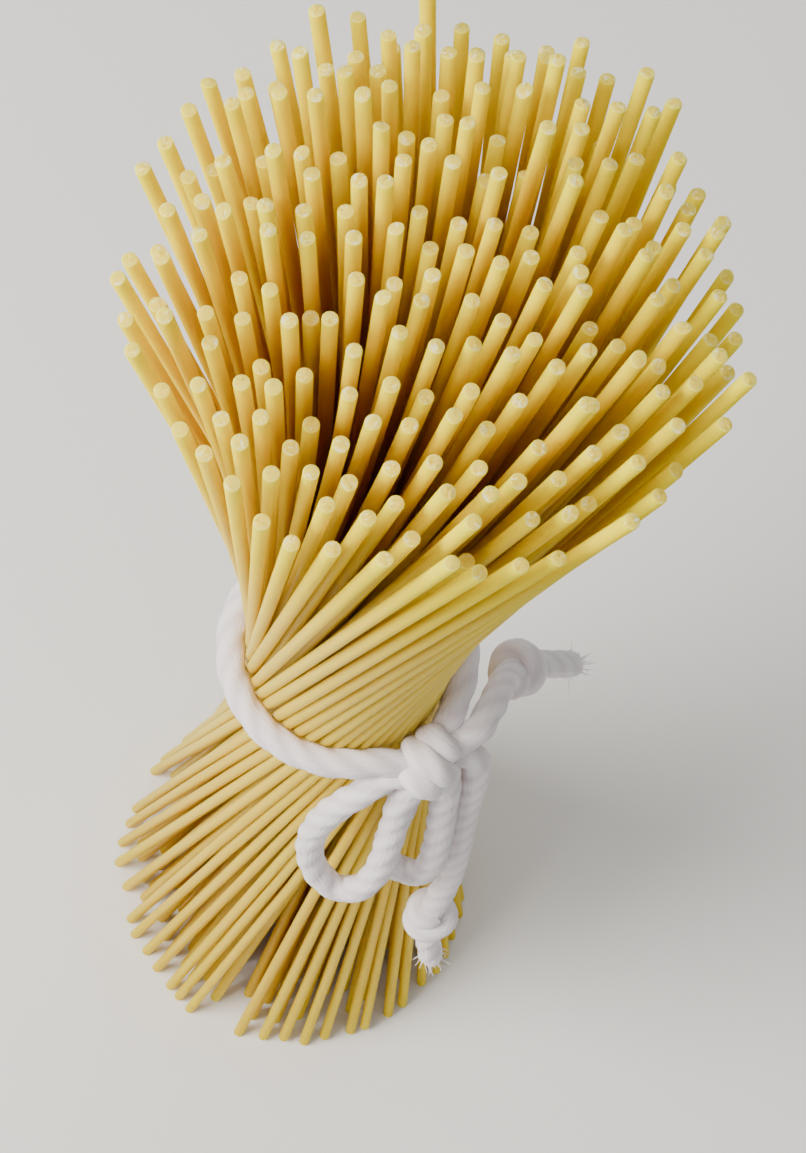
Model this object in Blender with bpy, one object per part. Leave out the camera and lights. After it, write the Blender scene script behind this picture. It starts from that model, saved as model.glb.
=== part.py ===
"""Bundle of dry spaghetti, tied at its waist with a soft cotton string in a bow, standing on its own foot.

The strands are straight sticks that lean round one another, so the bundle is a twisted hourglass.
Row frame: the origin is on the ground at the foot's centre, +Z runs up the bundle, and the bow is at the
front right, between -Y and +X. Lengths are given in millimetres and turned to metres as they are placed.
"""
import math
import random

import bmesh
import bpy
from mathutils import Matrix, Vector

MM = 0.001
GAP = 0.3                      # air kept between two pieces that touch

# The strands and how they stand.
STRAND_D = 1.8                 # one dry strand
WAIST_Z = 128.0                # height of the string
WAIST_R = 14.0                 # centre of the outermost strands at the string
TWIST = 0.0165                 # sideways lean of a strand for each mm it stands out from the axis
SPREAD = 0.0015                # how much the bundle opens with height besides the twist
OUTER_STRANDS = 44             # strands that show round the outside
TOP_Z = 247.0                  # where the outer strands end, on average
CROWN_Z = 253.0                # where the middle strands end
CROWN_UNEVEN = 4.0             # how far single strands stand up or down
CROWN_SEED = 7                 # which uneven crown it is
WALL_TOP = TOP_Z - 2.0 * CROWN_UNEVEN    # below the lowest end of the outer strands
WALL_LEVELS = 12
LOBE_POINTS = 3                # one in the groove and two on the strand's back
CROWN_RINGS = ((30, 27.0), (22, 20.5), (14, 13.5), (7, 6.0))    # points and radius of each ring of ends
GROOVE_WAIST = 0.45            # depth between two outer strands at the string
GROOVE_END = 1.3               # and where the strands have spread

# The string.
STRING_D = 4.2
RING_R = WAIST_R + STRAND_D / 2 + GAP + STRING_D / 2
KNOT_ANGLE = 50.0              # from the front (-Y) towards the right (+X)
KNOT_R = 19.8                  # the knot's centre from the axis
KNOT_Z = 126.0
KNOT_HALF = (6.0, 4.5, 5.4)    # along the ring, outwards, up
KNOT_OPENING = 24.0            # half of the angle that the knot takes out of the ring
RING_STEPS = 40
END_KNOT_HALF = (4.6, 4.0, 4.4)
END_KNOT_FRONT = (23.4, -17.3, 60.0)
END_KNOT_BACK = (24.8, 9.6, 112.0)
FACING_FRONT = 50.0            # the way each end knot faces, from -Y towards +X
FACING_BACK = 110.0
KNOT_POINTS = 16               # points round a knot
KNOT_LEVELS = 10               # and from its bottom to its top
TUBE_QUARTER = 2               # extra points in each quarter of the string's section

# Routes of the string's free stretches, from the bow's knot.
LOOP_LEFT = [
    (9.4, -16.2, 124.9), (6.9, -17.9, 121.2), (3.9, -19.4, 115.6), (1.8, -20.6, 108.6), (1.3, -21.8, 101.4),
    (2.5, -23.0, 94.8), (5.3, -24.0, 90.2), (8.6, -24.2, 89.6), (11.2, -23.4, 93.4), (12.4, -21.8, 99.8),
    (12.6, -19.8, 107.0), (12.6, -18.0, 113.6), (12.6, -17.0, 119.0),
]
LOOP_RIGHT = [
    (14.2, -12.4, 119.6), (13.8, -12.9, 112.5), (13.4, -13.9, 105.0), (13.0, -15.0, 97.0), (12.9, -16.1, 91.0),
    (13.4, -17.0, 87.4), (15.1, -17.6, 84.9), (17.7, -17.8, 84.8), (19.5, -17.6, 87.2), (20.1, -17.1, 91.4),
    (20.0, -16.3, 97.6), (19.6, -15.2, 104.6), (19.0, -14.0, 111.6), (18.5, -13.0, 118.6),
]
TAIL_FRONT = [
    (21.4, -9.4, 122.4), (22.4, -10.2, 116.0), (22.6, -11.0, 107.0), (23.2, -12.2, 97.0), (23.8, -13.4, 87.0),
    (24.1, -14.4, 77.5), (23.9, -15.4, 69.5), (23.6, -16.3, 64.8),
]
TAIL_BACK = [
    (20.5, -7.0, 127.3), (21.5, -4.0, 126.2), (22.3, -0.4, 124.0), (23.0, 3.0, 120.4), (23.9, 6.4, 116.0),
]
TIP_FRONT = [(23.9, -18.6, 55.4), (24.6, -19.3, 50.0), (25.9, -20.2, 44.5)]
TIP_BACK = [(28.2, 11.9, 108.8), (31.4, 14.4, 104.0), (34.2, 17.0, 98.6)]
ROUTE_STEP = 3.2               # spacing of a tube's points

# Finishes: linear colour and roughness.
PASTA_COLOUR = (0.72, 0.50, 0.13)
PASTA_ROUGHNESS = 0.5
STRING_COLOUR = (0.80, 0.76, 0.80)
STRING_ROUGHNESS = 0.9
SHARP_ANGLE = 40.0             # edges sharper than this stay hard


def clear_scene():
    for old in list(bpy.data.objects):
        bpy.data.objects.remove(old)


def finish_material(name, colour, roughness):
    material = bpy.data.materials.new(name)
    material.use_nodes = True
    shader = material.node_tree.nodes["Principled BSDF"]
    shader.inputs["Base Color"].default_value = (*colour, 1.0)
    shader.inputs["Roughness"].default_value = roughness
    shader.inputs["Metallic"].default_value = 0.0
    return material


def pasta_material():
    return finish_material("dry_pasta", PASTA_COLOUR, PASTA_ROUGHNESS)


def string_material():
    return finish_material("cotton_string", STRING_COLOUR, STRING_ROUGHNESS)


def lean(x, y, z):
    """Where a strand that crosses the waist at x, y has got to at height z."""
    rise = z - WAIST_Z
    open_out = 1.0 + SPREAD * rise
    turn = TWIST * rise
    return Vector((x * open_out - y * turn, y * open_out + x * turn, z))


def grow_ring(mesh, edges):
    grown = bmesh.ops.extrude_edge_only(mesh, edges=edges)["geom"]
    verts = [piece for piece in grown if isinstance(piece, bmesh.types.BMVert)]
    fresh = set(verts)
    rim = [piece for piece in grown if isinstance(piece, bmesh.types.BMEdge)]
    return verts, [edge for edge in rim if edge.verts[0] in fresh and edge.verts[1] in fresh]


def close_ring(mesh, edges, centre):
    cap = bmesh.ops.edgeloop_fill(mesh, edges=edges)["faces"]
    middle = bmesh.ops.poke(mesh, faces=cap)["verts"][0]
    middle.co = centre


def crown_ring(mesh, points, radius, height, uneven):
    """One ring of ends inside the outermost: each stands a little up or down from its neighbours."""
    level = Matrix.Translation((0.0, 0.0, height * MM))
    verts = bmesh.ops.create_circle(mesh, segments=points, radius=radius * MM, matrix=level)["verts"]
    for vert in verts:
        vert.co.z += uneven.uniform(-CROWN_UNEVEN, CROWN_UNEVEN) * MM
    return list({edge for vert in verts for edge in vert.link_edges})


def spaghetti_bundle(material):
    """The whole bundle out to its outer strands: grooved walls that twist, an uneven crown, a flat foot."""
    mesh = bmesh.new()
    angle_of = mesh.verts.layers.float.new("angle")
    lobe_of = mesh.verts.layers.int.new("lobe")
    points = LOBE_POINTS * OUTER_STRANDS
    bmesh.ops.create_circle(mesh, segments=points, radius=1.0)
    for vert in mesh.verts:
        vert[angle_of] = math.atan2(vert.co.y, vert.co.x)
        vert[lobe_of] = round(vert[angle_of] / math.tau * points) % points

    def place(vert, z):
        away = abs(z - WAIST_Z) / WAIST_Z
        middle = lean(WAIST_R * math.cos(vert[angle_of]), WAIST_R * math.sin(vert[angle_of]), z)
        reach = Vector((middle.x, middle.y, 0.0))
        radius = reach.length + STRAND_D / 2
        if vert[lobe_of] % LOBE_POINTS == 0:
            radius -= GROOVE_WAIST + (GROOVE_END - GROOVE_WAIST) * away
        reach.normalize()
        vert.co = (reach * radius + Vector((0.0, 0.0, z))) * MM

    for vert in mesh.verts:
        place(vert, 0.0)
    foot = list(mesh.edges)
    rim = foot
    for level in range(1, WALL_LEVELS + 1):
        verts, rim = grow_ring(mesh, rim)
        for vert in verts:
            place(vert, WALL_TOP * level / WALL_LEVELS)
    uneven = random.Random(CROWN_SEED)
    ends = [TOP_Z + uneven.uniform(-CROWN_UNEVEN, CROWN_UNEVEN) for _ in range(OUTER_STRANDS)]
    verts, rim = grow_ring(mesh, rim)
    for vert in verts:
        strand = vert[lobe_of] // LOBE_POINTS
        in_groove = vert[lobe_of] % LOBE_POINTS == 0
        place(vert, min(ends[strand], ends[strand - 1]) if in_groove else ends[strand])
    for number, (count, radius) in enumerate(CROWN_RINGS, start=1):
        height = TOP_Z + (CROWN_Z - TOP_Z) * number / len(CROWN_RINGS)
        ring = crown_ring(mesh, count, radius, height, uneven)
        bmesh.ops.bridge_loops(mesh, edges=rim + ring)
        rim = ring
    close_ring(mesh, rim, Vector((0.0, 0.0, CROWN_Z * MM)))
    close_ring(mesh, foot, Vector((0.0, 0.0, 0.0)))
    bmesh.ops.triangulate(mesh, faces=mesh.faces)
    bmesh.ops.recalc_face_normals(mesh, faces=mesh.faces)
    return add_mesh("spaghetti_bundle", mesh, material)


def add_mesh(name, mesh, material):
    data = bpy.data.meshes.new(name)
    mesh.to_mesh(data)
    mesh.free()
    data.materials.append(material)
    data.shade_smooth()
    data.set_sharp_from_angle(angle=math.radians(SHARP_ANGLE))
    return bpy.data.objects.new(name, data)


def smooth_route(route):
    """Points every few mm on one smooth curve through the route's own points."""
    points = [Vector(point) for point in route]
    points.insert(0, 2.0 * points[0] - points[1])
    points.append(2.0 * points[-1] - points[-2])
    line = []
    for before, start, end, after in zip(points, points[1:], points[2:], points[3:]):
        steps = max(1, round((end - start).length / ROUTE_STEP))
        for step in range(steps):
            t = step / steps
            bend = (2.0 * before - 5.0 * start + 4.0 * end - after) * t * t
            swing = (3.0 * start - before - 3.0 * end + after) * t * t * t
            line.append(0.5 * (2.0 * start + (end - before) * t + bend + swing))
    line.append(points[-2])
    return line


def string_tube(name, line, material):
    curve = bpy.data.curves.new(name, "CURVE")
    curve.dimensions = "3D"
    curve.bevel_depth = STRING_D / 2 * MM
    curve.bevel_resolution = TUBE_QUARTER
    curve.use_fill_caps = True
    spline = curve.splines.new("POLY")
    spline.points.add(len(line) - 1)
    for point, place in zip(spline.points, line):
        point.co = (*(place * MM), 1.0)
    spline.use_smooth = True
    curve.materials.append(material)
    return bpy.data.objects.new(name, curve)


def string_ring(material):
    """The string's turn round the waist, open where the knot sits."""
    line = []
    for step in range(RING_STEPS + 1):
        turn = KNOT_OPENING + (360.0 - 2.0 * KNOT_OPENING) * step / RING_STEPS
        angle = math.radians(KNOT_ANGLE + turn)
        line.append(Vector((RING_R * math.sin(angle), -RING_R * math.cos(angle), WAIST_Z)))
    return string_tube("string_ring", line, material)


def knot(name, centre, half, angle, material):
    """A rounded knot: half sizes along the ring, outwards and up, turned to face outwards at this angle."""
    mesh = bmesh.new()
    bmesh.ops.create_uvsphere(mesh, u_segments=KNOT_POINTS, v_segments=KNOT_LEVELS, radius=MM)
    place = Matrix.Translation(Vector(centre) * MM)
    shape = Matrix.Rotation(math.radians(angle), 4, "Z") @ Matrix.Diagonal((*half, 1.0))
    bmesh.ops.transform(mesh, matrix=place @ shape, verts=mesh.verts)
    return add_mesh(name, mesh, material)


def bow_knot(material):
    angle = math.radians(KNOT_ANGLE)
    centre = (KNOT_R * math.sin(angle), -KNOT_R * math.cos(angle), KNOT_Z)
    return knot("string_knot", centre, KNOT_HALF, KNOT_ANGLE, material)


def build():
    clear_scene()
    parts = bpy.data.collections.new("spaghetti_bundle_tied")
    bpy.context.scene.collection.children.link(parts)
    cotton = string_material()
    pieces = [spaghetti_bundle(pasta_material()), string_ring(cotton), bow_knot(cotton)]
    free = {
        "string_loop_left": LOOP_LEFT,
        "string_loop_right": LOOP_RIGHT,
        "string_tail_front": TAIL_FRONT,
        "string_tail_back": TAIL_BACK,
        "string_tip_front": TIP_FRONT,
        "string_tip_back": TIP_BACK,
    }
    for name, route in free.items():
        pieces.append(string_tube(name, smooth_route(route), cotton))
    pieces.append(knot("string_end_knot_front", END_KNOT_FRONT, END_KNOT_HALF, FACING_FRONT, cotton))
    pieces.append(knot("string_end_knot_back", END_KNOT_BACK, END_KNOT_HALF, FACING_BACK, cotton))
    for piece in pieces:
        parts.objects.link(piece)


build()
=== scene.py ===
import math

import bmesh
import bpy
import numpy as np
from mathutils import Matrix, Vector, noise


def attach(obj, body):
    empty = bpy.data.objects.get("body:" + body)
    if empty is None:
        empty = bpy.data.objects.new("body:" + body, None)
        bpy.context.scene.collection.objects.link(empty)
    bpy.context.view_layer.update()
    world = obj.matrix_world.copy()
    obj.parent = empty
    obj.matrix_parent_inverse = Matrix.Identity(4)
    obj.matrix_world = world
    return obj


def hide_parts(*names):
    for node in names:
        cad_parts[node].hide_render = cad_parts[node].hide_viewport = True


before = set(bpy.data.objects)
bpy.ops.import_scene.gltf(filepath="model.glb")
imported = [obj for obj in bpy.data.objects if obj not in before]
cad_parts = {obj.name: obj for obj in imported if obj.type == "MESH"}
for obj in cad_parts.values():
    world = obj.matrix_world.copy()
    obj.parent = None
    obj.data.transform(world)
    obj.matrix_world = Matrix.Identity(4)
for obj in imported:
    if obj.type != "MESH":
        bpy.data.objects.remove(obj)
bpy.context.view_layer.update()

MM = 0.001


# ---------------------------------------------------------------- Camera
# It stands in front and high over the bundle and looks steeply down past the fanned ends to the
# bow and the foot, turned a little on its own axis so that the bundle leans to the right.
EYE = Vector((0.0, -134.85, 514.05)) * MM
LOOKS_AT = Vector((4.61, 0.0, 162.27)) * MM
ROLL = 0.2752
LENS = 88.82                   # on a 36 mm sensor along the frame's long side

ahead = (LOOKS_AT - EYE).normalized()
level = ahead.cross(Vector((0.0, 0.0, 1.0))).normalized()
upright = level.cross(ahead)
right = level * math.cos(ROLL) + upright * math.sin(ROLL)
top = upright * math.cos(ROLL) - level * math.sin(ROLL)
view = Matrix((right, top, -ahead)).transposed().to_4x4()
view.translation = EYE
camera_data = bpy.data.cameras.new("studio_camera")
camera_data.sensor_fit = "VERTICAL"
camera_data.sensor_height = 36.0
camera_data.lens = LENS
camera_data.clip_start = 0.01
camera = bpy.data.objects.new("studio_camera", camera_data)
camera.matrix_world = view
bpy.context.scene.collection.objects.link(camera)
bpy.context.scene.camera = camera


# ---------------------------------------------------------------- Cotton string, free stretches
# A soft white cotton string of three plies laid round one another. It is tied in a bow whose two
# loops and front tail hang from the knot a few mm clear of the pasta, while the back tail stands out.
STRING_D = 4.2
PLY_GROOVE = 0.15              # how far the groove between two plies goes in, as part of the radius
PLY_POINTS = 18                # points round the string, six on each ply
PLY_TURN = 15.0                # length of string in which the plies go once round
RING_STEP = 0.9                # spacing of the string's rings
SLUB = 0.045                   # how uneven hand-tied soft cotton is in thickness
SLUB_RATE = 0.22               # how quickly thick and thin stretches follow one another, for each mm
LAID_RADIUS = STRING_D * 0.53  # the plies' backs, a little outside a plain round string

LOOP_LEFT = [
    (13.3, -14.6, 126.2), (9.4, -16.2, 124.9), (6.9, -17.9, 121.2), (3.9, -19.4, 115.6), (1.8, -20.6, 108.6),
    (1.3, -21.8, 101.4), (2.5, -23.0, 94.8), (5.3, -24.0, 90.2), (8.6, -24.2, 89.6), (11.2, -23.4, 93.4),
    (12.4, -21.8, 99.8), (12.6, -19.8, 107.0), (12.6, -18.0, 113.6), (12.6, -17.0, 119.0), (14.2, -15.0, 124.0),
]
LOOP_RIGHT = [
    (15.0, -12.6, 124.6), (14.2, -12.4, 119.6), (13.8, -12.9, 112.5), (13.4, -13.9, 105.0), (13.0, -15.0, 97.0),
    (12.9, -16.1, 91.0), (13.4, -17.0, 87.4), (15.1, -17.6, 84.9), (17.7, -17.8, 84.8), (19.5, -17.6, 87.2),
    (20.1, -17.1, 91.4), (20.0, -16.3, 97.6), (19.6, -15.2, 104.6), (19.0, -14.0, 111.6), (18.5, -13.0, 118.6),
    (17.0, -12.2, 124.2),
]
TAIL_FRONT = [
    (17.6, -10.4, 126.0), (21.4, -9.4, 122.4), (22.4, -10.2, 116.0), (22.6, -11.0, 107.0), (23.2, -12.2, 97.0),
    (23.8, -13.4, 87.0), (24.1, -14.4, 77.5), (23.9, -15.4, 69.5), (23.6, -16.3, 64.8), (23.5, -17.4, 60.0),
    (23.9, -18.6, 55.4), (24.6, -19.3, 50.0), (25.9, -20.2, 44.5),
]
TAIL_BACK = [
    (17.4, -10.2, 127.4), (20.5, -7.0, 127.3), (21.5, -4.0, 126.2), (22.3, -0.4, 124.0), (23.0, 3.0, 120.4),
    (23.9, 6.4, 116.0), (25.6, 9.4, 112.0), (28.2, 11.9, 108.8), (31.4, 14.4, 104.0), (34.2, 17.0, 98.6),
]


def linear(colour):
    """A colour written as sRGB hex, as linear light."""
    parts = [int(colour[i:i + 2], 16) / 255.0 for i in (1, 3, 5)]
    return tuple(c / 12.92 if c <= 0.04045 else ((c + 0.055) / 1.055) ** 2.4 for c in parts) + (1.0,)


def add_node(tree, kind, inputs=None, **settings):
    """Adds one node with its settings, its input values and the links into it."""
    made = tree.nodes.new(kind)
    for name, value in settings.items():
        setattr(made, name, value)
    for name, value in (inputs or {}).items():
        if isinstance(value, bpy.types.NodeSocket):
            tree.links.new(value, made.inputs[name])
        else:
            made.inputs[name].default_value = value
    return made


def new_material(name):
    made = bpy.data.materials.new(name)
    made.use_nodes = True
    made.node_tree.nodes.clear()
    return made, made.node_tree


def smooth_route(route, step):
    """Points a step apart on the smooth curve through a route's points."""
    points = [Vector(point) for point in route]
    points.insert(0, 2.0 * points[0] - points[1])
    points.append(2.0 * points[-1] - points[-2])
    line = []
    for before, start, end, after in zip(points, points[1:], points[2:], points[3:]):
        count = max(1, round((end - start).length / step))
        for number in range(count):
            t = number / count
            bend = (2.0 * before - 5.0 * start + 4.0 * end - after) * t * t
            swing = (3.0 * start - before - 3.0 * end + after) * t * t * t
            line.append(0.5 * (2.0 * start + (end - before) * t + bend + swing))
    line.append(points[-2])
    return line


def grow_ring(mesh, edges):
    """Draws new rings out of these edges, and gives the new points and their edges."""
    grown = bmesh.ops.extrude_edge_only(mesh, edges=edges)["geom"]
    fresh = [piece for piece in grown if isinstance(piece, bmesh.types.BMVert)]
    new = set(fresh)
    rims = [piece for piece in grown if isinstance(piece, bmesh.types.BMEdge)]
    return fresh, [edge for edge in rims if edge.verts[0] in new and edge.verts[1] in new]


def finish_piece(name, mesh, material, smooth_angle=60.0):
    """Turns a finished bmesh into a piece that rides on the bundle."""
    bmesh.ops.recalc_face_normals(mesh, faces=mesh.faces)
    data = bpy.data.meshes.new(name)
    mesh.to_mesh(data)
    mesh.free()
    data.materials.append(material)
    data.shade_smooth()
    data.set_sharp_from_angle(angle=math.radians(smooth_angle))
    piece = bpy.data.objects.new(name, data)
    bpy.context.scene.collection.objects.link(piece)
    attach(piece, "root")
    return piece


def laid_string(name, line, material, radius=LAID_RADIUS, ends=(1.0, 1.0)):
    """A three-ply string along a line. ends is how thick its first and last rings are."""
    mesh = bmesh.new()
    angle_of = mesh.verts.layers.float.new("angle")
    place_of = mesh.verts.layers.float_vector.new("lay_place")
    groove_of = mesh.verts.layers.float.new("groove")
    bmesh.ops.create_circle(mesh, segments=PLY_POINTS, radius=1.0)
    for vert in mesh.verts:
        vert[angle_of] = math.atan2(vert.co.y, vert.co.x)
        vert[groove_of] = 1.0 - abs(math.cos(1.5 * vert[angle_of])) ** 0.8
    ahead = (line[1] - line[0]).normalized()
    side = ahead.orthogonal().normalized()
    travelled = 0.0
    verts, rim = list(mesh.verts), list(mesh.edges)
    first_rim = rim
    for number, point in enumerate(line):
        if number:
            verts, rim = grow_ring(mesh, rim)
            travelled += (point - line[number - 1]).length
        towards = line[min(number + 1, len(line) - 1)] - line[max(number - 1, 0)]
        ahead = towards.normalized()
        side = (side - ahead * side.dot(ahead)).normalized()
        across = ahead.cross(side)
        turn = math.tau * travelled / PLY_TURN
        here = radius * (1.0 + SLUB * noise.noise(Vector((travelled * SLUB_RATE, radius * 3.0, line[0].x))))
        if number == 0:
            here *= ends[0]
        if number == len(line) - 1:
            here *= ends[1]
        for vert in verts:
            angle = vert[angle_of] + turn
            reach = here * (1.0 - PLY_GROOVE * vert[groove_of])
            flat = side * math.cos(angle) * reach + across * math.sin(angle) * reach
            vert.co = (point + flat) * MM
            vert[place_of] = Vector((math.cos(angle), math.sin(angle), travelled / radius)) * radius * MM
    for cap, centre in ((first_rim, line[0]), (rim, line[-1])):
        made = bmesh.ops.edgeloop_fill(mesh, edges=cap)["faces"]
        middle = bmesh.ops.poke(mesh, faces=made)["verts"][0]
        middle.co = centre * MM
    return finish_piece(name, mesh, material)


# Bleached cotton: a dull white with no gloss, a little light coming through it, fine fibres that
# run along the string, and soft shade down in the grooves between the plies.
FIBRE = 0.25                   # width of a tuft of fibres, drawn coarser than the real 0.02 so that it shows
FIBRE_STRETCH = 0.16           # a tuft's width, as part of its length
LUMP = 6.0                     # size of the soft unevenness in the cotton

cotton, tree = new_material("bleached_cotton_three_ply")
place = add_node(tree, "ShaderNodeAttribute", attribute_name="lay_place")
groove = add_node(tree, "ShaderNodeAttribute", attribute_name="groove")
along = add_node(
    tree, "ShaderNodeMapping", {"Vector": place.outputs["Vector"], "Scale": (1.0, 1.0, FIBRE_STRETCH)},
)
fibres = add_node(
    tree, "ShaderNodeTexNoise",
    {"Vector": along.outputs["Vector"], "Scale": 1000.0 / FIBRE / 2.0, "Detail": 3.0, "Roughness": 0.6},
)
soft = add_node(
    tree, "ShaderNodeTexNoise",
    {"Vector": place.outputs["Vector"], "Scale": 1000.0 / LUMP, "Detail": 2.0},
)
lit = add_node(
    tree, "ShaderNodeMix",
    {0: fibres.outputs["Fac"], 6: linear("#F1E8ED"), 7: linear("#FFFAFD")}, data_type="RGBA",
)
shade = add_node(tree, "ShaderNodeMath", {0: groove.outputs["Fac"], 1: 0.7}, operation="MULTIPLY")
colour = add_node(
    tree, "ShaderNodeMix",
    {0: shade.outputs[0], 6: lit.outputs[2], 7: linear("#D6C9D0")}, data_type="RGBA",
)
relief = add_node(
    tree, "ShaderNodeMath", {0: fibres.outputs["Fac"], 1: soft.outputs["Fac"]}, operation="ADD",
)
bump = add_node(tree, "ShaderNodeBump", {"Height": relief.outputs[0], "Strength": 0.9, "Distance": 0.3 * MM})
shader = add_node(
    tree, "ShaderNodeBsdfPrincipled",
    {
        "Base Color": colour.outputs[2], "Roughness": 0.95, "Normal": bump.outputs["Normal"],
        "Subsurface Weight": 0.35, "Subsurface Radius": (1.0, 0.9, 0.9), "Subsurface Scale": 0.8 * MM,
        "Sheen Weight": 0.35, "Sheen Roughness": 0.6, "Specular IOR Level": 0.2,
    },
)
add_node(tree, "ShaderNodeOutputMaterial", {"Surface": shader.outputs[0]})

loop_left_line = smooth_route(LOOP_LEFT, RING_STEP)
loop_left = laid_string("cotton_loop_left", loop_left_line, cotton)
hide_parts("string_loop_left")

loop_right_line = smooth_route(LOOP_RIGHT, RING_STEP)
loop_right = laid_string("cotton_loop_right", loop_right_line, cotton)
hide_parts("string_loop_right")


# ---------------------------------------------------------------- Cotton string, tails with their end knots
# Each tail is stopped by a knot, the string wound round itself and pulled small. Past the knot a
# short end is left, with its plies opening into loose fibres.
END_KNOT_FRONT = Vector((23.5, -17.4, 60.0))
END_KNOT_BACK = Vector((25.4, 9.3, 112.4))
END_KNOT_REACH = 2.5           # from the tail's middle to the middle of the string wound round it
END_KNOT_TURNS = 1.75
END_KNOT_HALF = 2.5            # half of the knot's length along the tail
END_KNOT_STRING = 2.0          # radius of the string pulled tight in the knot
TUCK = 0.35                    # how far in a wound string's ends go, as part of its reach
TUFT_LENGTH = 2.6
TUFT_FIBRES = 70
FIBRE_D = 0.2


def wound_line(centre, axis, outward, turns, half_length, reach, start, steps):
    """String wound round an axis. reach is how far out it runs, outwards and across; both ends go in under it."""
    across = axis.cross(outward).normalized()
    outward = across.cross(axis).normalized()
    line = []
    for number in range(steps + 1):
        part = number / steps
        angle = math.tau * (turns * part + start)
        tuck = min(1.0, TUCK + 6.0 * min(part, 1.0 - part))
        flat = outward * reach[0] * math.cos(angle) + across * reach[1] * math.sin(angle)
        line.append(centre + axis * half_length * (2.0 * part - 1.0) + flat * tuck)
    return line


def fibre_tuft(name, end, ahead, material, seed):
    """Loose fibres at a string's cut end, fanning out a little."""
    draw = np.random.default_rng(seed)
    mesh = bmesh.new()
    mesh.verts.layers.float_vector.new("lay_place")
    side = ahead.orthogonal().normalized()
    across = ahead.cross(side)
    for number in range(TUFT_FIBRES):
        angle = draw.uniform(0.0, math.tau)
        spot = math.sqrt(draw.uniform(0.0, 1.0))
        flat = side * math.cos(angle) + across * math.sin(angle)
        start = end + flat * spot * STRING_D * 0.40 - ahead * 0.8
        reach = TUFT_LENGTH * draw.uniform(0.5, 1.3)
        lean_out = flat * spot * draw.uniform(0.1, 0.9) + Vector(draw.normal(0.0, 0.15, 3))
        curl = Vector(draw.normal(0.0, 0.35, 3))
        made = bmesh.ops.create_circle(mesh, segments=3, radius=FIBRE_D / 2)["verts"]
        turn = ahead.to_track_quat("Z", "Y").to_matrix().to_4x4()
        bmesh.ops.transform(mesh, matrix=Matrix.Translation(start) @ turn, verts=made)
        rim = list(dict.fromkeys(edge for vert in made for edge in vert.link_edges))
        for step in range(1, 4):
            made, rim = grow_ring(mesh, rim)
            part = step / 3.0
            move = (ahead + lean_out) * reach / 3.0 + curl * (2.0 * part - 1.0) * reach / 3.0
            bmesh.ops.translate(mesh, vec=move, verts=made)
            bmesh.ops.scale(mesh, vec=(0.8,) * 3, verts=made, space=Matrix.Translation(-made[0].co))
    bmesh.ops.holes_fill(mesh, edges=mesh.edges, sides=3)
    bmesh.ops.scale(mesh, vec=(MM,) * 3, verts=mesh.verts)
    tuft = finish_piece(name, mesh, material)
    return tuft


for word, route, knot_at, knot_node, tail_node, tip_node, lay, seed in (
    (
        "front", TAIL_FRONT, END_KNOT_FRONT, "string_end_knot_front", "string_tail_front", "string_tip_front",
        "hanging", 3,
    ),
    (
        "back", TAIL_BACK, END_KNOT_BACK, "string_end_knot_back", "string_tail_back", "string_tip_back",
        "loose", 4,
    ),
):
    line = smooth_route(route, RING_STEP)
    tail = laid_string("cotton_tail_" + word, line, cotton, ends=(1.0, 0.9))
    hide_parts(tail_node, tip_node)
    nearest = min(range(1, len(line) - 1), key=lambda i: (line[i] - knot_at).length)
    ahead = (line[nearest + 1] - line[nearest - 1]).normalized()
    outward = Vector((knot_at.x, knot_at.y, 0.0)).normalized()
    reach = (END_KNOT_REACH, END_KNOT_REACH + 0.2)
    wound = wound_line(knot_at, ahead, outward, END_KNOT_TURNS, END_KNOT_HALF, reach, 0.1, 60)
    knot = laid_string("cotton_end_knot_" + word, wound, cotton, radius=END_KNOT_STRING, ends=(0.6, 0.6))
    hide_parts(knot_node)
    tuft = fibre_tuft("cotton_tuft_" + word, line[-1], (line[-1] - line[-3]).normalized(), cotton, seed)


# ---------------------------------------------------------------- Cotton string, turn round the waist
# One turn of the same string, pulled tight enough to press into the strands. Its two ends come
# out of the turn together and go into the bow's knot.
WAIST_Z = 128.0
RING_R = 16.95
KNOT_ANGLE = 50.0              # from the front (-Y) towards the right (+X)
KNOT_R = 19.6
KNOT_Z = 126.0
RING_STEPS = 130
RING_ARC = 356.0               # it all but closes behind the knot
PULLED_ARC = 14.0              # within this angle of the knot the string is drawn out towards it

ring_line = []
for number in range(RING_STEPS + 1):
    turn = math.radians(KNOT_ANGLE + (360.0 - RING_ARC) / 2.0 + RING_ARC * number / RING_STEPS)
    from_knot = min(number, RING_STEPS - number) * RING_ARC / RING_STEPS
    pull = math.exp(-((from_knot / PULLED_ARC) ** 2))
    reach = RING_R + (KNOT_R - RING_R - 0.8) * pull
    height = WAIST_Z + (KNOT_Z - WAIST_Z) * pull + 0.25 * math.sin(2.0 * turn)
    ring_line.append(Vector((reach * math.sin(turn), -reach * math.cos(turn), height)))
ring = laid_string("cotton_waist_turn", ring_line, cotton)
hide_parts("string_ring")


# ---------------------------------------------------------------- Cotton string, bow knot
# The string goes over the front of the two loops' necks, round behind them and over once more, and
# is pulled down hard, so the knot is two short fat turns side by side.
KNOT_TURNS = 2.15
KNOT_HALF = 3.2                # half of the knot's width, from the first turn's middle to the last one's
KNOT_REACH = (2.6, 3.5)        # from its middle to the string's middle, outwards and up
knot_out = Vector((math.sin(math.radians(KNOT_ANGLE)), -math.cos(math.radians(KNOT_ANGLE)), 0.0))
knot_side = Vector((math.cos(math.radians(KNOT_ANGLE)), math.sin(math.radians(KNOT_ANGLE)), 0.0))
knot_centre = knot_out * KNOT_R + Vector((0.0, 0.0, KNOT_Z))
knot_axis = (knot_side + Vector((0.0, 0.0, 0.35))).normalized()
knot_line = wound_line(knot_centre, knot_axis, knot_out, KNOT_TURNS, KNOT_HALF, KNOT_REACH, -0.3, 90)
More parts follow.
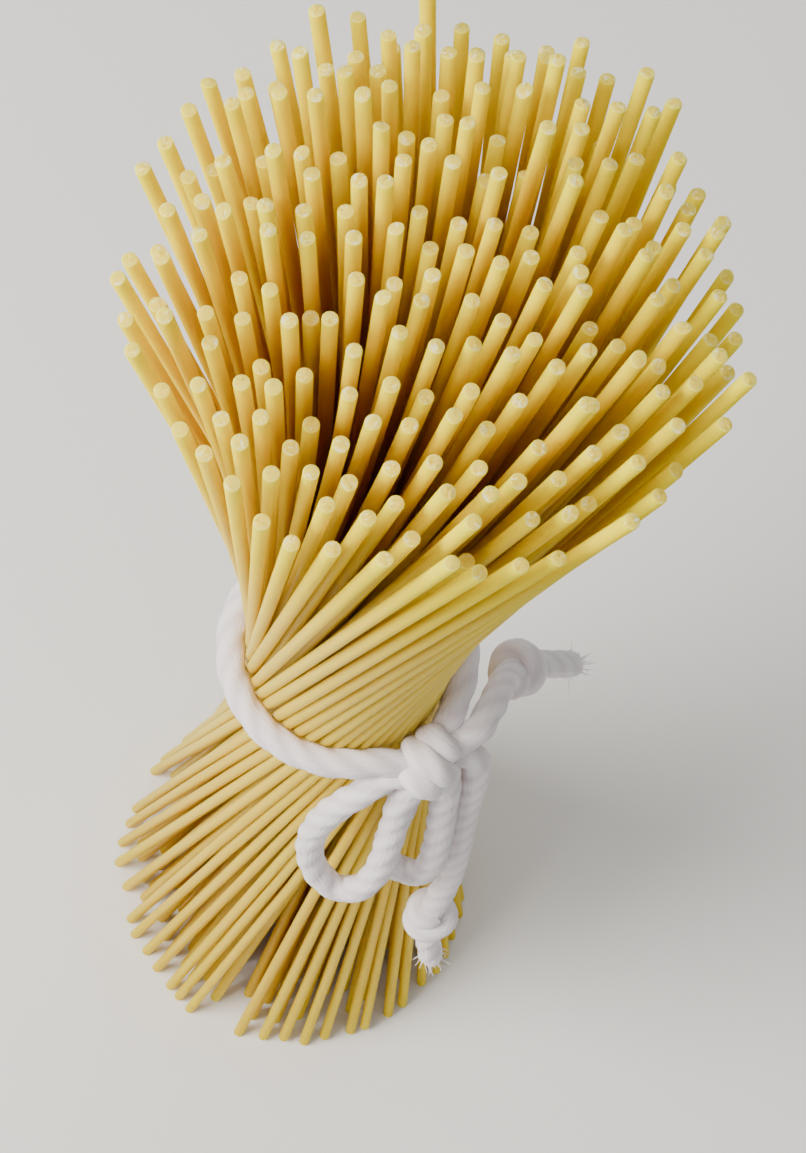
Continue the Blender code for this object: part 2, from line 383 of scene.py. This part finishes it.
knot = laid_string("cotton_bow_knot", knot_line, cotton, ends=(0.6, 0.6))
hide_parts("string_knot")


# ---------------------------------------------------------------- Spaghetti
# Dry durum wheat spaghetti, pressed through a die as straight round sticks and cut to one length.
# The string holds them at the waist, and each leans round the axis, so both ends of the bundle fan out.
STRANDS = 224
OUTER_STRANDS = 47             # of them in the outer layer
STRAND_D = 1.8
STRAND_LENGTH = 255.0
WAIST_R = 14.0
TWIST = 0.0165
SPREAD = 0.0015
SIDES = 12
TOP_RISE = 121.0               # height over the waist that the fan is laid out for
TOUCH_AT_WAIST = 1.01          # how far apart crowded strands' middles are pushed, in strand widths
TOUCH = 1.04                   # the same, above and below the waist
EVEN_GAP = 2.1                 # the spacing that the tops settle towards, in strand widths
OUTER_CALM = 0.6               # the outer layer wanders this much, as part of what the others do
FOOT_GAPS = (                  # direction from the front, how far the strands part, over how wide an arc
    (-13.0, 5.5, 25.0), (26.0, 2.5, 8.0), (41.0, 2.5, 8.0), (54.0, 2.5, 8.0), (-62.0, 2.4, 14.0),
    (-101.0, 3.0, 12.0), (98.0, 2.6, 12.0), (149.0, 3.2, 14.0), (200.0, 2.6, 12.0), (238.0, 2.2, 9.0),
)
ODD_LENGTHS = 9                # strands that are clearly longer or shorter than the rest
SLANTED = 0.12                 # share of the strands whose end is cut at a slant
CHIPPED = 0.4                  # share of them with a chip out of the end

draw = np.random.default_rng(26)


def push_apart(spots, gap):
    """How far each disc has to move so that none lies on another."""
    offset = spots[:, None] - spots[None]
    distance = np.hypot(offset[..., 0], offset[..., 1]) + np.eye(len(spots)) * 1000.0
    overlap = np.clip(gap - distance, 0.0, None)
    return 0.5 * (offset / distance[..., None] * overlap[..., None]).sum(axis=1)


def lean(spots, rise):
    """Where strands that cross the waist at these spots are at this height over it."""
    open_out = 1.0 + SPREAD * rise
    turn = TWIST * rise
    x, y = spots.T
    return np.stack([x * open_out - y * turn, y * open_out + x * turn], axis=1)


def drift(spots, size, wave, seed):
    """A slow sideways drift that neighbouring strands share."""
    moved = [
        (
            noise.noise(Vector((x / wave, y / wave, seed))),
            noise.noise(Vector((x / wave, y / wave, seed + 31.7))),
        )
        for x, y in spots
    ]
    return size * np.array(moved)


# At the waist the strands are pressed together inside an unbroken outer layer.
layer = np.arange(STRANDS) < OUTER_STRANDS
scattered = np.where(layer, WAIST_R, np.sqrt(draw.uniform(0.0, 1.0, STRANDS)) * (WAIST_R - STRAND_D))
around = np.where(layer, math.tau * np.arange(STRANDS) / OUTER_STRANDS, draw.uniform(0.0, math.tau, STRANDS))
waist = scattered[:, None] * np.stack([np.cos(around), np.sin(around)], axis=1)
for _ in range(900):
    waist += push_apart(waist, STRAND_D * TOUCH_AT_WAIST)
    out = np.hypot(*waist.T)
    waist *= (np.where(layer, WAIST_R, np.minimum(out, WAIST_R - 0.8 * STRAND_D)) / out)[:, None]

# Above and below it they fan out, each a little out of line, and are pushed apart
# a fixed number of times, at several heights.
tops = lean(waist, TOP_RISE)
calm = np.where(layer, OUTER_CALM, 1.0)[:, None]
tops += calm * (drift(tops, 2.0, 15.0, 2.0) + draw.normal(0.0, 0.55, tops.shape))
for _ in range(25):
    tops += 0.35 * push_apart(tops, EVEN_GAP * STRAND_D)
for _ in range(60):
    for share in (1.0, 0.7, 0.45, 0.25):
        tops += push_apart(waist + (tops - waist) * share, STRAND_D * TOUCH) / share
feet = lean(waist, -WAIST_Z)
foot_r = np.hypot(*feet.T)
foot_turn = np.degrees(np.arctan2(feet[:, 0], -feet[:, 1]))
shift = np.zeros(STRANDS)
for gap_at, size, width in FOOT_GAPS:
    away = (foot_turn - gap_at + 180.0) % 360.0 - 180.0
    shift += size * np.sign(away) * np.exp(-np.abs(away) / width)
foot_turn = np.radians(foot_turn + shift * (foot_r / foot_r.max()) ** 1.5)
feet = foot_r[:, None] * np.stack([np.sin(foot_turn), -np.cos(foot_turn)], axis=1)
feet += calm * (drift(feet, 2.0, 12.0, 9.0) + draw.normal(0.0, 0.45, feet.shape))
straight_feet = waist - (tops - waist) * WAIST_Z / TOP_RISE
for _ in range(60):
    for share in (1.0, 0.7, 0.45):
        spots = waist + (straight_feet - waist) * share + (feet - straight_feet) * share * share
        feet += push_apart(spots, STRAND_D * TOUCH) / share ** 2

# What differs from one strand to the next: its width, its length, its colour and how its end broke.
diameters = STRAND_D * draw.normal(1.0, 0.018, STRANDS)
foot_z = draw.uniform(0.0, 1.4, STRANDS)
lengths = STRAND_LENGTH + np.clip(draw.normal(-0.5, 2.6, STRANDS), -7.0, 6.0)
lengths[draw.choice(STRANDS, ODD_LENGTHS, replace=False)] += draw.choice([-11.0, -9.0, 6.0, 8.0], ODD_LENGTHS)
tones = draw.uniform(0.0, 1.0, STRANDS)
slants = np.where(
    draw.uniform(0.0, 1.0, STRANDS) < SLANTED, draw.uniform(0.25, 0.6, STRANDS), draw.uniform(0.0, 0.12, STRANDS),
)
slant_turns = draw.uniform(0.0, math.tau, STRANDS)
chips = np.where(draw.uniform(0.0, 1.0, STRANDS) < CHIPPED, draw.uniform(0.4, 1.0, STRANDS), 0.0)
inward = 1.0 - np.hypot(*waist.T) / WAIST_R


class Strand:
    """One stick: its line from foot to top, and the two directions across it."""

    def __init__(self, number):
        foot = Vector((*feet[number], foot_z[number]))
        middle = Vector((*waist[number], WAIST_Z))
        top = Vector((*tops[number], WAIST_Z + TOP_RISE))
        upper = (top - middle).normalized()
        lower = (middle - foot).normalized()
        self.middle, self.upper, self.lower = middle, upper, lower
        self.below = (middle - foot).length
        self.above = lengths[number] - self.below
        self.side = upper.orthogonal().normalized()
        self.across = upper.cross(self.side)
        self.radius = diameters[number] / 2

    def centre(self, along):
        """The point this far over the waist, along the stick. Below it the stick bends slowly to its foot."""
        straight = self.middle + self.upper * along
        if along >= 0.0:
            return straight
        foot = self.middle - self.lower * self.below
        bend = foot - (self.middle - self.upper * self.below)
        return straight + bend * (along / self.below) ** 2


strands = [Strand(number) for number in range(STRANDS)]
mesh = bmesh.new()
number_of = mesh.verts.layers.int.new("number")
angle_of = mesh.verts.layers.float.new("angle")
place_of = mesh.verts.layers.float_vector.new("stick_place")
tone_of = mesh.verts.layers.float.new("tone")
cut_of = mesh.verts.layers.float.new("cut")
inside_of = mesh.verts.layers.float.new("inside")
chip_of = mesh.verts.layers.float.new("chip")
length_of = mesh.verts.layers.float.new("stick_length")
for number in range(STRANDS):
    for vert in bmesh.ops.create_circle(mesh, segments=SIDES, radius=1.0)["verts"]:
        vert[number_of] = number
        vert[angle_of] = math.atan2(vert.co.y, vert.co.x)
        vert[tone_of] = tones[number]
        vert[inside_of] = inward[number]
        vert[length_of] = lengths[number] * MM


def place_ring(verts, along_of, width, cut=0.0, rough=0.0):
    """Puts rings of points round their own strands, this far along and this wide."""
    for vert in verts:
        number = vert[number_of]
        strand = strands[number]
        along = along_of(strand)
        x, y = math.cos(vert[angle_of]) * width, math.sin(vert[angle_of]) * width
        lift = 0.0
        if along > strand.above - 1.0:
            towards = x * math.cos(slant_turns[number]) + y * math.sin(slant_turns[number])
            lift = (slants[number] * towards + rough * draw.normal()) * strand.radius
            chipped = chips[number] * max(0.0, -towards - 0.55)
            vert[chip_of] = min(1.0, 3.0 * chipped)
            if cut > 0.0:
                lift -= chipped * 1.1
        flat = (strand.side * x + strand.across * y) * strand.radius
        vert.co = (strand.centre(along) + flat + strand.upper * lift) * MM
        vert[place_of] = Vector((
            x * strand.radius + 5.0 * number, y * strand.radius, strand.above - along,
        )) * MM
        vert[cut_of] = cut


place_ring(mesh.verts, lambda s: -s.below, 0.9)
feet_rim = list(mesh.edges)
verts, rim = grow_ring(mesh, feet_rim)
place_ring(verts, lambda s: 0.15 - s.below, 1.0)
for share in (0.5, 0.0):
    verts, rim = grow_ring(mesh, rim)
    place_ring(verts, lambda s: -s.below * share, 1.0)
verts, rim = grow_ring(mesh, rim)
place_ring(verts, lambda s: s.above - 0.15, 1.0)
verts, rim = grow_ring(mesh, rim)
place_ring(verts, lambda s: s.above - 0.02, 0.93, cut=0.5, rough=0.02)
verts, rim = grow_ring(mesh, rim)
place_ring(verts, lambda s: s.above, 0.80, cut=1.0, rough=0.04)
verts, rim = grow_ring(mesh, rim)
place_ring(verts, lambda s: s.above, 0.42, cut=1.0, rough=0.12)
made = bmesh.ops.edgeloop_fill(mesh, edges=rim)["faces"]
bmesh.ops.poke(mesh, faces=made)
bmesh.ops.edgeloop_fill(mesh, edges=feet_rim)

# Durum semolina dough, dried hard: a smooth satin skin that light sinks into. A cut end is pale and chalky with
# white chips and a painted highlight round its rim; painted shade turns each strand from pale yellow at its end to
# amber further down, most inside the bundle.
SHADE_REACH = 70.0            # how far down from its end a strand's painted shade goes on deepening
FOOT_SHADE_DEPTH = 28.0               # a foot's end takes the painted shade that a strand has this far below its top
STREAK = 0.5                   # width of the faint lines that the die leaves along a strand
GRAIN = 0.9                    # size of the crumbs in a cut end

pasta, tree = new_material("dry_durum_pasta")
place, tone, cut, inside, chip, stick_length = (
    add_node(tree, "ShaderNodeAttribute", attribute_name=name)
    for name in ("stick_place", "tone", "cut", "inside", "chip", "stick_length")
)
split = add_node(tree, "ShaderNodeSeparateXYZ", {0: place.outputs["Vector"]})
from_foot = add_node(
    tree, "ShaderNodeMath", {0: stick_length.outputs["Fac"], 1: split.outputs["Z"]}, operation="SUBTRACT",
)
# Painted shade: a foot's end is coloured as a strand 28 mm below its top, not with the pale colour of a top end.
shade_depth_at_foot = add_node(tree, "ShaderNodeMath", {0: from_foot.outputs[0], 1: FOOT_SHADE_DEPTH * MM}, operation="ADD")
from_end = add_node(
    tree, "ShaderNodeMath", {0: split.outputs["Z"], 1: shade_depth_at_foot.outputs[0]}, operation="MINIMUM",
)
part_down = add_node(
    tree, "ShaderNodeMath", {0: from_end.outputs[0], 1: SHADE_REACH * MM}, operation="DIVIDE",
)
# Painted shade: the first ramp, for the outer strands, darkens a little down from the end; the second, for the
# inner ones, turns deep amber within 18 mm.
shade_ramps = []
for stops in (
    ((0.0, "#F6DC1E"), (2.0, "#F4D904"), (6.0, "#F2D402"), (20.0, "#ECCA08"), (45.0, "#E6C030"),
     (70.0, "#E2BC44")),
    ((0.0, "#F6DE1E"), (2.0, "#F3DA04"), (5.0, "#E8CA01"), (10.0, "#D6B200"), (18.0, "#C69800"), (30.0, "#D28C00"),
     (70.0, "#E08E00")),
):
    ramp = add_node(tree, "ShaderNodeValToRGB", {0: part_down.outputs[0]})
    band = ramp.color_ramp.elements
    while len(band) < len(stops):
        band.new(1.0)
    for stop, (down, shade) in zip(band, stops):
        stop.position = down / SHADE_REACH
        stop.color = linear(shade)
    shade_ramps.append(ramp)
# How much of the inner ramp's painted amber shade a strand takes, by how far in from the outer layer it crosses
# the waist.
among = add_node(
    tree, "ShaderNodeMapRange", {0: inside.outputs["Fac"], 1: 0.10, 2: 0.50, 3: 0.0, 4: 1.0},
    interpolation_type="SMOOTHSTEP",
)
body = add_node(
    tree, "ShaderNodeMix",
    {0: among.outputs[0], 6: shade_ramps[0].outputs[0], 7: shade_ramps[1].outputs[0]}, data_type="RGBA",
)
toned = add_node(
    tree, "ShaderNodeMix", {0: tone.outputs["Fac"], 6: linear("#F3EDE4"), 7: linear("#FFFFFF")}, data_type="RGBA",
)
skin = add_node(
    tree, "ShaderNodeMix", {0: 1.0, 6: body.outputs[2], 7: toned.outputs[2]},
    data_type="RGBA", blend_type="MULTIPLY",
)
lines = add_node(tree, "ShaderNodeMapping", {"Vector": place.outputs["Vector"], "Scale": (1.0, 1.0, 0.03)})
streaks = add_node(
    tree, "ShaderNodeTexNoise",
    {"Vector": lines.outputs["Vector"], "Scale": 1000.0 / STREAK, "Detail": 2.0, "Roughness": 0.5},
)
streak_mix = add_node(
    tree, "ShaderNodeMix",
    {0: streaks.outputs["Fac"], 6: linear("#E4B804"), 7: linear("#FFE814")}, data_type="RGBA",
)
streaked = add_node(
    tree, "ShaderNodeMix", {0: 0.08, 6: skin.outputs[2], 7: streak_mix.outputs[2]}, data_type="RGBA",
)
grain = add_node(
    tree, "ShaderNodeTexNoise",
    {
        "Vector": place.outputs["Vector"], "Scale": 1000.0 / GRAIN, "Detail": 3.0, "Roughness": 0.6,
        "Distortion": 1.2,
    },
)
white_spots = add_node(
    tree, "ShaderNodeMapRange", {0: grain.outputs["Fac"], 1: 0.57, 2: 0.63, 3: 0.0, 4: 0.6},
)
broken = add_node(
    tree, "ShaderNodeMath", {0: white_spots.outputs[0], 1: chip.outputs["Fac"]}, operation="MAXIMUM",
)
face = add_node(
    tree, "ShaderNodeMix",
    {0: broken.outputs[0], 6: linear("#EDCE50"), 7: linear("#FFF6DC")}, data_type="RGBA",
)
# Painted highlight: a bright yellow line on the narrow ring round each cut end.
rim_highlight_mask = add_node(tree, "ShaderNodeMapRange", {0: cut.outputs["Fac"], 1: 0.0, 2: 0.5, 3: 0.0, 4: 1.0})
face_mask = add_node(tree, "ShaderNodeMapRange", {0: cut.outputs["Fac"], 1: 0.5, 2: 1.0, 3: 0.0, 4: 1.0})
rim_highlighted = add_node(
    tree, "ShaderNodeMix",
    {0: rim_highlight_mask.outputs[0], 6: streaked.outputs[2], 7: linear("#FFE862")}, data_type="RGBA",
)
colour = add_node(
    tree, "ShaderNodeMix",
    {0: face_mask.outputs[0], 6: rim_highlighted.outputs[2], 7: face.outputs[2]}, data_type="RGBA",
)
height = add_node(
    tree, "ShaderNodeMix",
    {0: cut.outputs["Fac"], 2: streaks.outputs["Fac"], 3: grain.outputs["Fac"]}, data_type="FLOAT",
)
bump = add_node(tree, "ShaderNodeBump", {"Height": height.outputs[0], "Strength": 0.4, "Distance": 0.12 * MM})
shader = add_node(
    tree, "ShaderNodeBsdfPrincipled",
    {
        "Base Color": colour.outputs[2], "Roughness": 0.38, "Normal": bump.outputs["Normal"], "IOR": 1.5,
        "Specular IOR Level": 0.03,
        "Subsurface Weight": 0.9, "Subsurface Radius": (1.0, 0.92, 0.35), "Subsurface Scale": 3.0 * MM,
    },
)
add_node(tree, "ShaderNodeOutputMaterial", {"Surface": shader.outputs[0]})
spaghetti = finish_piece("spaghetti_strands", mesh, pasta, smooth_angle=40.0)
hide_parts("spaghetti_bundle")


# ---------------------------------------------------------------- Floor and light
# A plain pale floor, a soft lamp close on the left, weak ones on the right and behind, and a broad
# pale ceiling panel that lights the floor evenly.
FLOOR_HALF = 5.0

floor_paint, tree = new_material("pale_matt_floor")
shader = add_node(tree, "ShaderNodeBsdfPrincipled", {"Base Color": linear("#F2F1EF"), "Roughness": 0.9})
add_node(tree, "ShaderNodeOutputMaterial", {"Surface": shader.outputs[0]})
mesh = bmesh.new()
bmesh.ops.create_grid(mesh, x_segments=1, y_segments=1, size=FLOOR_HALF)
data = bpy.data.meshes.new("studio_floor")
mesh.to_mesh(data)
mesh.free()
data.materials.append(floor_paint)
floor = bpy.data.objects.new("studio_floor", data)
bpy.context.scene.collection.objects.link(floor)

for name, at, size, power, tint in (
    ("key_softbox", (-0.40, -0.20, 0.58), 0.40, 7.6, "#FFFAF2"),
    ("fill_softbox", (0.9, -0.6, 0.9), 0.9, 0.3, "#F4F6FF"),
    ("back_softbox", (0.2, 1.0, 0.9), 0.8, 2.0, "#FFFFFF"),
    ("ceiling_panel", (-0.50, -0.20, 2.40), 5.0, 42.0, "#FFFDF8"),
):
    lamp = bpy.data.lights.new(name, "AREA")
    lamp.shape = "DISK"
    lamp.size = size
    lamp.energy = power
    lamp.color = linear(tint)[:3]
    holder = bpy.data.objects.new(name, lamp)
    holder.location = at
    holder.rotation_euler = (Vector((0.0, 0.0, 0.15)) - Vector(at)).to_track_quat("-Z", "Y").to_euler()
    bpy.context.scene.collection.objects.link(holder)

# Pale studio walls all round, and less light from above them.
world = bpy.data.worlds.new("studio_walls")
world.use_nodes = True
tree = world.node_tree
tree.nodes.clear()
direction = add_node(tree, "ShaderNodeTexCoord")
split = add_node(tree, "ShaderNodeSeparateXYZ", {0: direction.outputs["Generated"]})
upwards = add_node(
    tree, "ShaderNodeMapRange", {0: split.outputs["Z"], 1: 0.05, 2: 0.45, 3: 0.50, 4: 0.20},
    interpolation_type="SMOOTHSTEP",
)
walls = add_node(
    tree, "ShaderNodeBackground", {"Color": linear("#F0F0F0"), "Strength": upwards.outputs[0]},
)
add_node(tree, "ShaderNodeOutputWorld", {"Surface": walls.outputs[0]})
bpy.context.scene.world = world
